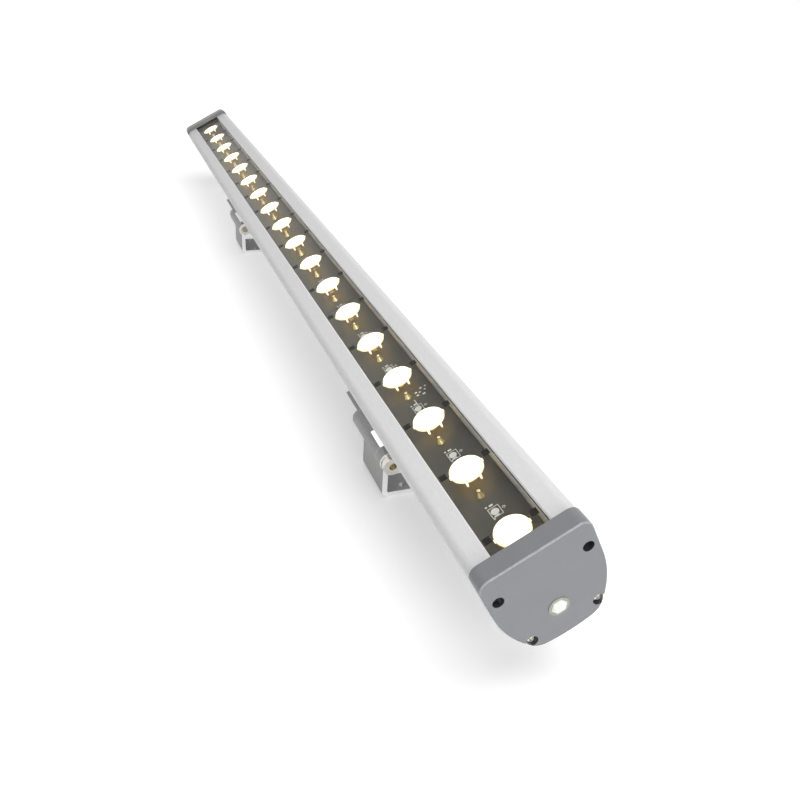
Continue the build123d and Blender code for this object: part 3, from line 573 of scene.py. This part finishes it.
in_rows("lenses", lens_unit(), lit_acrylic(), ["near_lenses", "middle_lenses", "far_lenses"],
        lens_count, lamp_point(0, first_lens * mm, 0), (0, lens_pitch * mm, 0), smooth=38)


# Board screws: turned brass, with a wide foot, a long cone and a small flat top, one before each
# lens. The turning leaves a bright skin that mirrors the lit lenses.
def turned_brass():
    """Free cutting brass straight from the lathe: bright yellow metal with fine rings."""
    material, tree = new_material("turned_brass")
    rings = grain_pattern(tree, 0.5, 3.0, (0.1, 0.1, 1))
    grained_skin(tree, rings, tones=("#F6D684", "#FFF2C8"), roughness=(0.12, 0.26),
                 uniform={"Metallic": 0.8})
    return material


def turned_unit(name, profile, sides=28, right=0.0):
    """Unit turned about the lamp's upward direction from radius and height pairs, closed at both ends."""
    shape = bmesh.new()
    rings = []
    for radius, up in profile:
        count = 1 if radius == 0 else sides
        rings.append([
            shape.verts.new(((right + radius * math.cos(2 * math.pi * side / sides)) * mm,
                             radius * math.sin(2 * math.pi * side / sides) * mm, up * mm))
            for side in range(count)
        ])
    for upper, lower in zip(rings, rings[1:]):
        for side in range(sides):
            after = (side + 1) % sides
            corners = [upper[side % len(upper)], lower[side % len(lower)],
                       lower[after % len(lower)], upper[after % len(upper)]]
            shape.faces.new(list(dict.fromkeys(corners)))
    return unit_from(shape, name)


board_screw_profile = (
    (0, 6.2), (1.0, 6.2), (1.3, 5.95), (1.3, 5.2), (1.4, 4.9), (2.9, 1.5), (3.1, 1.1), (3.1, 0.25), (2.9, 0),
    (1.45, 0), (1.45, -1.6), (0, -1.6),
)
screw_right, screw_before_lens = -1.6, 19.0
first_screw = first_lens + lens_pitch - screw_before_lens
in_rows("brass_screws", turned_unit("screw_unit", board_screw_profile, right=screw_right), turned_brass(),
        ["board_screws"], lens_count - 1, lamp_point(0, first_screw * mm, board_top),
        (0, lens_pitch * mm, 0), smooth=35)


# Glass pads: two rows of small square foam pads stuck under the glass, which keep it off the lenses.
def black_foam():
    """Die cut closed cell foam: matt, nearly black with an olive cast, and finely pitted."""
    material, tree = new_material("black_foam")
    cells = grain_pattern(tree, 0.5, 2.0)
    grained_skin(tree, cells, tones=("#0A0905", "#211D12"), roughness=0.9,
                 relief=(cells, 0.1, 0.5), uniform={"Specular IOR Level": 0.2})
    return material


pad_side, pad_thickness, pad_edge, pad_right, glass_bottom = 5.0, 0.7, 0.12, 16.5, 3.45
shape = bmesh.new()
add_slab(shape, 0, 0, pad_side, pad_side, pad_thickness)
bmesh.ops.bevel(shape, geom=list(shape.edges), offset=pad_edge * mm, segments=2, affect="EDGES", profile=0.5)
first_pad = lamp_point(-pad_right * mm, first_lens * mm, (glass_bottom - pad_thickness) * mm)
in_rows("foam_pads", unit_from(shape, "foam_unit"), black_foam(), ["glass_pads"], lens_count,
        first_pad, (0, lens_pitch * mm, 0), rows=2, row_step=lamp_right * 2 * pad_right * mm)


# Cover glass: one long pane of toughened float glass, coated against reflections, slid into the
# channel. It lets the light through and lays only a thin grey sheen over the boards.
def coated_float_glass():
    """Float glass with an anti reflection coat: clear, with about half of plain glass's gloss."""
    material, tree = new_material("coated_float_glass")
    coat_share = 0.46
    fresnel = add_node(tree, "ShaderNodeFresnel", {"IOR": 1.5})
    inside = add_node(tree, "ShaderNodeNewGeometry").outputs["Backfacing"]
    outside = add_node(tree, "ShaderNodeMath", {
        0: coat_share, 1: inside,
    }, operation="SUBTRACT", use_clamp=True)
    share = add_node(tree, "ShaderNodeMath", {
        0: fresnel.outputs[0], 1: outside.outputs[0],
    }, operation="MULTIPLY")
    smear = add_node(tree, "ShaderNodeMapRange", {
        "Value": grain_pattern(tree, 60.0, 1.0), "To Min": 0.0, "To Max": 0.06,
    })
    clear = add_node(tree, "ShaderNodeBsdfTransparent", {"Color": linear("#FBFCFB")})
    gloss = add_node(tree, "ShaderNodeBsdfGlossy", {"Color": (1, 1, 1, 1), "Roughness": smear.outputs[0]})
    mixed = add_node(tree, "ShaderNodeMixShader", {
        0: share.outputs[0], 1: clear.outputs[0], 2: gloss.outputs[0],
    })
    add_node(tree, "ShaderNodeOutputMaterial", {"Surface": mixed.outputs[0]})
    return material


frame["nodes"]["cover_glass"].data.materials.clear()
frame["nodes"]["cover_glass"].data.materials.append(coated_float_glass())


# Glass seals: extruded silicone U strips pressed on the glass's long edges, seen as a thin dark
# line under each lip of the window. The cap gaskets are punched from sheet of the same rubber.
def black_silicone():
    """Extruded silicone rubber: matt black with a light bloom of dust."""
    material, tree = new_material("black_silicone")
    bloom = grain_pattern(tree, 3.0, 3.0, (1, 0.2, 1))
    grained_skin(tree, bloom, tones=("#161512", "#2A2824"), roughness=0.6)
    return material


silicone = black_silicone()
for name in ("left_glass_seal", "right_glass_seal", "near_cap_gasket", "far_cap_gasket"):
    frame["nodes"][name].data.materials.clear()
    frame["nodes"][name].data.materials.append(silicone)


# End caps: die cast aluminium with a smooth mid grey powder coat, held to the extrusion by four
# screws in recesses. The coat is half matt; a lighter coat on the rounded top rim is a painted
# highlight line, and the screw recesses carry painted shade.
def grey_powder_coat():
    """Polyester powder coat on a casting: fine orange peel, faint specks and a half matt sheen."""
    material, tree = new_material("grey_powder_coat")
    peel = grain_pattern(tree, 0.8, 2.0)
    speck = grain_pattern(tree, 0.45, 1.0)
    cloud = add_node(tree, "ShaderNodeMapRange", {
        "Value": grain_pattern(tree, 18.0, 1.0), "To Min": 0.3, "To Max": 0.7,
    })
    shade = add_node(tree, "ShaderNodeMath", {0: speck, 1: cloud.outputs[0]}, operation="MULTIPLY")
    grained_skin(tree, shade.outputs[0], tones=("#818285", "#97989C"), roughness=0.33,
                 relief=(peel, 0.04, 0.08))
    return material


def recess_painted_shade():
    """Dull dark grey with a cloudy grain, for the screw recesses and the upper screws: painted shade of the
    deep holes.
    """
    material, tree = new_material("recess_painted_shade")
    shade_grain = grain_pattern(tree, 1.5, 3.0)
    grained_skin(tree, shade_grain, tones=("#2C2D33", "#4E4F58"), roughness=0.5, uniform={"Metallic": 0.3})
    return material


def rim_painted_highlight():
    """The same coat on the top rim, lighter and smoother: a painted highlight line along the rounded rim."""
    material, tree = new_material("rim_painted_highlight")
    rub = grain_pattern(tree, 3.0, 3.0)
    grained_skin(tree, rub, tones=("#8E8F92", "#B4B5B8"), roughness=(0.22, 0.34))
    return material


powder_coat = grey_powder_coat()
recess_shade_paint = recess_painted_shade()
rim_highlight_paint = rim_painted_highlight()
upper_screw_place, upper_recess_radius, upper_screw_depth = (30.4, -6.8), 3.8, 7.0
lower_screw_place, lower_recess_radius, lower_screw_depth = (24.0, -54.4), 4.2, 4.6
recess_margin = 0.15
rim_width, rim_bottom = 1.25, -3.5
lamp_end = 600.0


def in_a_recess(centre, normal):
    """True for the walls and floors of the screw recesses."""
    right, along, up = in_lamp(centre) / mm
    if abs(along) > lamp_end - 0.02 and abs(normal.y) > 0.5:
        return False
    recesses = ((upper_screw_place, upper_recess_radius), (lower_screw_place, lower_recess_radius))
    return any(math.hypot(abs(right) - place[0], up - place[1]) < radius + recess_margin
               for place, radius in recesses)


def on_the_rim(centre, normal):
    """True for the rounded rim along the top of a cap's face."""
    right, along, up = in_lamp(centre) / mm
    return 0.12 < abs(normal.y) < 0.97 and abs(along) > lamp_end - rim_width and up > rim_bottom


for end in ("near", "far"):
    cap = finished_copy(f"{end}_end_cap", f"{end}_cap",
                        [powder_coat, recess_shade_paint, rim_highlight_paint])
    # Recess walls and floors take the dark grey: painted shade.
    face_with(cap, 1, in_a_recess)
    # The top rim takes the lighter coat: a painted highlight line.
    face_with(cap, 2, on_the_rim)


# Corner webs: where the lower recesses come close to the outline, the casting keeps a thin web, so
# the cap's edge runs on unbroken round the screw heads. It is coated with the cap.
belly_centre, belly_radius = Vector((0, 46.3)), 112.0
flank_centre, flank_radius = Vector((-36.4, -18.0)), 74.0
corner_radius, web_thickness, web_depth, web_set_back = 14.0, 0.55, 4.6, 1.1
web_crown, web_reach = 0.35, 4.5
reach_down, reach_out = belly_radius - corner_radius, flank_radius - corner_radius
apart = flank_centre - belly_centre
along_line = (reach_down ** 2 - reach_out ** 2 + apart.length_squared) / (2 * apart.length)
off_line = math.sqrt(reach_down ** 2 - along_line ** 2)
direction = apart.normalized()
corner_centre = belly_centre + direction * along_line + Vector((-direction.y, direction.x)) * off_line
web_angles = []
for half_degree in range(181):
    angle = -math.pi / 2 + half_degree * math.pi / 360
    edge_point = corner_centre + Vector((math.cos(angle), math.sin(angle))) * corner_radius
    if (edge_point - Vector(lower_screw_place)).length < web_reach:
        web_angles.append(angle)
web_section = (
    (corner_radius, web_set_back), (corner_radius - web_crown, web_set_back / 3),
    (corner_radius - web_thickness, web_set_back), (corner_radius - web_thickness, web_depth),
    (corner_radius, web_depth),
)
for end, outward in (("near", -1), ("far", 1)):
    shape = bmesh.new()
    for side in (-1, 1):
        rows = []
        for angle in web_angles:
            spoke = Vector((math.cos(angle), math.sin(angle)))
            row = []
            for radius, depth in web_section:
                at = corner_centre + spoke * radius
                place = lamp_point(side * at.x * mm, outward * (lamp_end - depth) * mm, at.y * mm)
                row.append(shape.verts.new(place))
            rows.append(row)
        for before, after in zip(rows, rows[1:]):
            for place in range(len(before)):
                following = (place + 1) % len(before)
                shape.faces.new([before[place], before[following], after[following], after[place]])
        shape.faces.new(rows[0])
        shape.faces.new(rows[-1])
    bmesh.ops.recalc_face_normals(shape, faces=shape.faces)
    mesh = bpy.data.meshes.new(f"{end}_corner_webs")
    shape.to_mesh(mesh)
    shape.free()
    mesh.materials.append(powder_coat)
    webs = bpy.data.objects.new(f"{end}_corner_webs", mesh)
    bpy.context.scene.collection.objects.link(webs)
    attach(webs, "lamp")


# Cap screws: cross recess pan heads of nickel plated steel, two in the deep recesses and two in the
# shallow ones at the bottom corners. The deep pair are painted dark grey instead: painted shade in their
# recesses.
def nickel_plate():
    """Nickel plated steel: bright, slightly warm metal with rolled and handled marks."""
    material, tree = new_material("nickel_plate")
    marks = grain_pattern(tree, 1.1, 4.0)
    grained_skin(tree, marks, tones=("#BFBBB2", "#F2EFE9"), roughness=(0.14, 0.34),
                 relief=(marks, 0.02, 0.15), uniform={"Metallic": 1.0})
    return material


nickel = nickel_plate()
pan_head_profile = (
    (0, 3.3), (1.6, 3.2), (2.7, 2.85), (3.4, 2.2), (3.75, 1.3), (3.8, 0.4), (3.7, 0), (1.95, 0), (1.95, -24),
    (1.5, -26), (0, -26),
)
pan_head_sides = 32
cross_turn, cross_middle = 0.35, 3.0
cross_size = (4.4 * mm, 1.05 * mm, 2.6 * mm, 1)


def pan_head_unit(outward):
    """Screw along the row with its head outwards, a cross cut in the head by two crossed box cutters."""
    screw = turned_unit("pan_head_unit", pan_head_profile, pan_head_sides)
    screw.data.transform(lamp_turn.inverted())
    cutter_shape = bmesh.new()
    for turn in (cross_turn, cross_turn + math.pi / 2):
        place = Matrix.Translation((0, 0, cross_middle * mm)) @ Matrix.Rotation(turn, 4, "Z")
        bmesh.ops.create_cube(cutter_shape, size=1, matrix=place @ Matrix.Diagonal(cross_size))
    bmesh.ops.recalc_face_normals(cutter_shape, faces=cutter_shape.faces)
    cutter_mesh = bpy.data.meshes.new("cross_cutter")
    cutter_shape.to_mesh(cutter_mesh)
    cutter_shape.free()
    cutter = bpy.data.objects.new("cross_cutter", cutter_mesh)
    bpy.context.scene.collection.objects.link(cutter)
    cut = screw.modifiers.new("cross", "BOOLEAN")
    cut.operation = "DIFFERENCE"
    cut.solver = "EXACT"
    cut.use_self = True
    cut.object = cutter
    shown = bpy.context.evaluated_depsgraph_get()
    mesh = bpy.data.meshes.new_from_object(screw.evaluated_get(shown))
    screw.modifiers.remove(cut)
    bpy.data.objects.remove(cutter)
    bpy.data.objects.remove(screw)
    mesh.transform(lamp_turn @ Matrix.Rotation(-outward * math.pi / 2, 4, "X"))
    unit = bpy.data.objects.new("pan_head_unit", mesh)
    bpy.context.scene.collection.objects.link(unit)
    return unit


# The upper screws sit deep and take the dark grey as painted shade; the lower ones are nickel.
for end, outward in (("near", -1), ("far", 1)):
    for place, (right, up), depth, material in (
        ("upper", upper_screw_place, upper_screw_depth, recess_shade_paint),
        ("lower", lower_screw_place, lower_screw_depth, nickel),
    ):
        start = lamp_point(-right * mm, outward * (lamp_end - depth) * mm, up * mm)
        in_rows(f"{end}_{place}_cap_screws", pan_head_unit(outward), material,
                [f"{end}_cap_screws"], 2, start, lamp_right * 2 * right * mm, smooth=35)


# Cable inlet: a milky clear bush with a thin flange, and in it a white blanking plug whose hexagon
# head stands a little proud. The far cap has the same pair.
def milky_polyamide():
    """Moulded natural polyamide: translucent, greenish white, with a soft gloss."""
    material, tree = new_material("milky_polyamide")
    cloud = grain_pattern(tree, 4.0, 2.0)
    grained_skin(tree, cloud, tones=("#94978A", "#B7BAAD"), roughness=0.22,
                 uniform={"Subsurface Weight": 0.25, "Subsurface Radius": (1.0 * mm, 1.1 * mm, 0.8 * mm)})
    return material


def white_polyamide():
    """Moulded white polyamide: opaque and smooth, so its bevels catch sharp lights."""
    material, tree = new_material("white_polyamide")
    cloud = grain_pattern(tree, 3.0, 2.0)
    grained_skin(tree, cloud, tones=("#EDEEE8", "#FAFAF6"), roughness=0.18)
    return material


milky = milky_polyamide()
white_plug = white_polyamide()
for end in ("near", "far"):
    finished_copy(f"{end}_inlet_bush", f"{end}_bush", [milky], edge_mm=0.25)

plug_sides = 6
plug_rings = (
    (0.0, 1.5), (3.6, 1.5), (3.9, 1.2), (4.5, 1.25), (5.2, 1.0), (5.6, 0.3), (4.8, 0.0), (4.8, -12.8),
    (0.0, -12.8),
)
inlet_height, plug_gap = -39.0, 0.1
for end, outward in (("near", -1), ("far", 1)):
    plug = turned_unit("plug_unit", plug_rings, plug_sides)
    plug.data.transform(lamp_turn @ Matrix.Rotation(-outward * math.pi / 2, 4, "X") @ lamp_turn.inverted())
    in_rows(f"{end}_plug", plug, white_plug, [f"{end}_inlet_plug"], 1,
            lamp_point(0, outward * (lamp_end + plug_gap) * mm, inlet_height * mm), (0, 0, 0))


# Brackets: a clamp that slides in the side track and a foot hinged to it, both sawn from aluminium
# extrusions. The skin is dull from tumbling; the sawn ends are bare metal, and their near white
# colour is partly a painted highlight of the front light.
def tumbled_aluminium():
    """Mill finish extrusion after tumbling: dull mid grey with a soft mottle and a faint drawn grain."""
    material, tree = new_material("tumbled_aluminium")
    mottle = grain_pattern(tree, 2.4, 4.0)
    drawn = grain_pattern(tree, 0.8, 3.0, (1, 0.1, 1))
    grained_skin(tree, mottle, tones=("#9C9C9C", "#BEBEBD"), roughness=(0.38, 0.58),
                 relief=(drawn, 0.04, 0.2), uniform={"Metallic": 0.3})
    return material


def sawn_aluminium_painted_light():
    """Fresh saw cut through the extrusion, with fine parallel tooth marks: bare metal whose near white
    colour is partly a painted highlight.
    """
    material, tree = new_material("sawn_aluminium_painted_light")
    teeth = grain_pattern(tree, 0.7, 2.0, (0.15, 1, 1))
    grained_skin(tree, teeth, tones=("#F6F6F6", "#FFFFFF"), roughness=0.34,
                 relief=(teeth, 0.03, 0.2), uniform={"Metallic": 0.8})
    return material


def socket_painted_shade():
    """Dark olive steel mottled towards light olive, for the bolt's socket and its far end: painted shade."""
    material, tree = new_material("socket_painted_shade")
    socket_mottle = grain_pattern(tree, 0.8, 2.0)
    grained_skin(tree, socket_mottle, tones=("#2A2619", "#D8CFAE"), roughness=(0.1, 0.3), uniform={"Metallic": 1.0})
    return material


tumbled = tumbled_aluminium()
sawn = sawn_aluminium_painted_light()
socket_shade_paint = socket_painted_shade()


def is_sawn_end(centre, normal):
    """True for the faces sawn across the extrusion, square or on the slant."""
    return abs(normal.y) > 0.75


for end in ("near", "far"):
    foot = finished_copy(f"{end}_foot", f"{end}_bracket_foot", [tumbled, sawn],
                         edge_mm=0.25)
    # Faces across the bar take the near white material: bare sawn metal, partly painted highlight.
    face_with(foot, 1, is_sawn_end)
    clamp = finished_copy(f"{end}_clamp", f"{end}_bracket_clamp", [tumbled, sawn],
                          edge_mm=0.2)
    face_with(clamp, 1, is_sawn_end)

# Hinge hardware: a socket cap bolt on a flat and a spring washer, a hexagon nut in its pocket, and
# a headless screw that locks the clamp in the track, all of nickel plated steel. The bolt's socket
# and far end are painted dark as painted shade.
socket_radius, socket_depth, face_skin, other_end = 3.55, 3.4, 0.05, 40
for end, outward in (("near", -1), ("far", 1)):
    low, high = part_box(f"{end}_hinge_bolt")
    head_face = low.y if outward < 0 else high.y
    low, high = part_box(f"{end}_flat_washer")
    axis = (low + high) / 2
    bolt = finished_copy(f"{end}_hinge_bolt", f"{end}_bolt", [nickel, socket_shade_paint], edge_mm=0.25)
    # Faces inside the socket and at the bolt's far end by the nut take the dark material: painted shade.
    face_with(bolt, 1, lambda centre, normal: (
        math.hypot(centre.x - axis.x, centre.z - axis.z) < socket_radius * mm
        and face_skin * mm < abs(centre.y - head_face) < socket_depth * mm
        or abs(centre.y - head_face) > other_end * mm
    ))
    for node, name in (("flat_washer", "washer"), ("spring_washer", "lock_washer"), ("hinge_nut", "nut"),
                       ("clamp_screw", "grub_screw")):
        finished_copy(f"{end}_{node}", f"{end}_{name}", [nickel], edge_mm=0.15)


# Driver: a zinc plated tray on the housing's rails, with a fibre glass board on spacers. The board
# carries the wound, rolled and moulded parts of the power path, joined by insulated leads.
def plated_sheet():
    """Zinc plated sheet steel: light grey with a faint flowered grain."""
    material, tree = new_material("plated_sheet")
    flower = grain_pattern(tree, 6.0, 2.0)
    grained_skin(tree, flower, tones=("#9FA3A6", "#C3C6C8"), roughness=0.4, uniform={"Metallic": 0.9})
    return material


def woven_board():
    """Epoxy board with glass cloth inside: green, half gloss, the weave just showing."""
    material, tree = new_material("woven_board")
    weave = grain_pattern(tree, 0.6, 2.0)
    grained_skin(tree, weave, tones=("#1E5A36", "#2C7447"), roughness=0.35)
    return material


def wound_tape():
    """Polyester tape round a transformer: yellow, glossy and slightly wrinkled."""
    material, tree = new_material("wound_tape")
    wrinkle = grain_pattern(tree, 2.0, 3.0)
    grained_skin(tree, wrinkle, tones=("#CFAE3C", "#E6CB62"), roughness=0.3, relief=(wrinkle, 0.1, 0.3))
    return material


def shrunk_sleeve():
    """Shrunk sleeve and moulded epoxy: black with a soft gloss."""
    material, tree = new_material("shrunk_sleeve")
    wrinkle = grain_pattern(tree, 2.5, 2.0)
    grained_skin(tree, wrinkle, tones=("#17171B", "#2A2A30"), roughness=0.35)
    return material


def enamelled_copper():
    """Enamelled copper wire wound close: reddish brown with fine ridges."""
    material, tree = new_material("enamelled_copper")
    turns = grain_pattern(tree, 0.8, 2.0, (1, 0.2, 1))
    grained_skin(tree, turns, tones=("#8A4A22", "#C4743C"), roughness=0.3,
                 relief=(turns, 0.2, 0.5), uniform={"Metallic": 0.6})
    return material


def moulded_terminal():
    """Moulded green polyamide: matt with flow marks."""
    material, tree = new_material("moulded_terminal")
    flow = grain_pattern(tree, 3.0, 2.0)
    grained_skin(tree, flow, tones=("#2F8A4C", "#3FA05C"), roughness=0.45)
    return material


def lead_insulation():
    """Extruded silicone insulation: brown, matt, with powder bloom."""
    material, tree = new_material("lead_insulation")
    bloom = grain_pattern(tree, 2.0, 2.0)
    grained_skin(tree, bloom, tones=("#5A3A26", "#7A5238"), roughness=0.5)
    return material


sleeve = shrunk_sleeve()
terminal = moulded_terminal()
insulation = lead_insulation()
for name, material in (
    ("driver_tray", plated_sheet()), ("driver_spacers", white_plug), ("driver_board", woven_board()),
    ("driver_transformer", wound_tape()), ("input_capacitor", sleeve), ("output_capacitors", sleeve),
    ("switching_transistor", sleeve), ("input_choke", enamelled_copper()), ("input_terminal", terminal),
    ("output_terminal", terminal), ("mains_leads", insulation), ("output_leads", insulation),
):
    frame["nodes"][name].data.materials.clear()
    frame["nodes"][name].data.materials.append(material)
